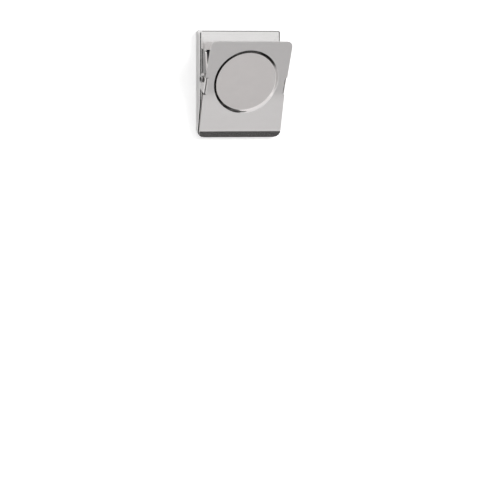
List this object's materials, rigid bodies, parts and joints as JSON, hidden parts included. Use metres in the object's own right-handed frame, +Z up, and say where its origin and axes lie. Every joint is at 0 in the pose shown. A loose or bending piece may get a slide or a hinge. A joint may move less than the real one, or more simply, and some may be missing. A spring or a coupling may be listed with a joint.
{
  "type": "magnetic clip",
  "caption": "Square magnetic spring clip: a shallow steel back shell with a block magnet, and a sprung lever plate with a round recess that pinches paper against its lower edge.",
  "frame": {"origin": "on the flat back that meets the wall, in the middle of the clip's width, 15 mm below the shell's top edge", "axes": "X across the clip, +Y out of the back into the wall, +Z up towards the finger end of the lever"},
  "size_m": [0.0314, 0.0154, 0.037],
  "materials": {
    "shell_steel": "bright nickel plate",
    "lever_steel": "bright nickel plate, softly brushed",
    "pin_steel": "nickel plate",
    "spring_wire": "drawn spring wire",
    "ferrite": "ground ferrite",
    "adhesive": "cured film"
  },
  "bodies": {
    "shell": {"back_shell": "shell_steel", "pivot_pin": "pin_steel", "torsion_spring": "spring_wire", "magnet": "ferrite", "magnet_adhesive": "adhesive"},
    "lever": {"lever_plate": "lever_steel"}
  },
  "joints": [
    {"name": "jaw_hinge", "type": "hinge", "parent": "shell", "child": "lever", "pos_m": [0, -0.0059, -0.0018], "axis": [-1, 0, 0], "range_deg": [0, 34], "stiffness_Nm_per_rad": 0.05, "springref_deg": -45.84, "deforming": ["torsion_spring"]}
  ]
}
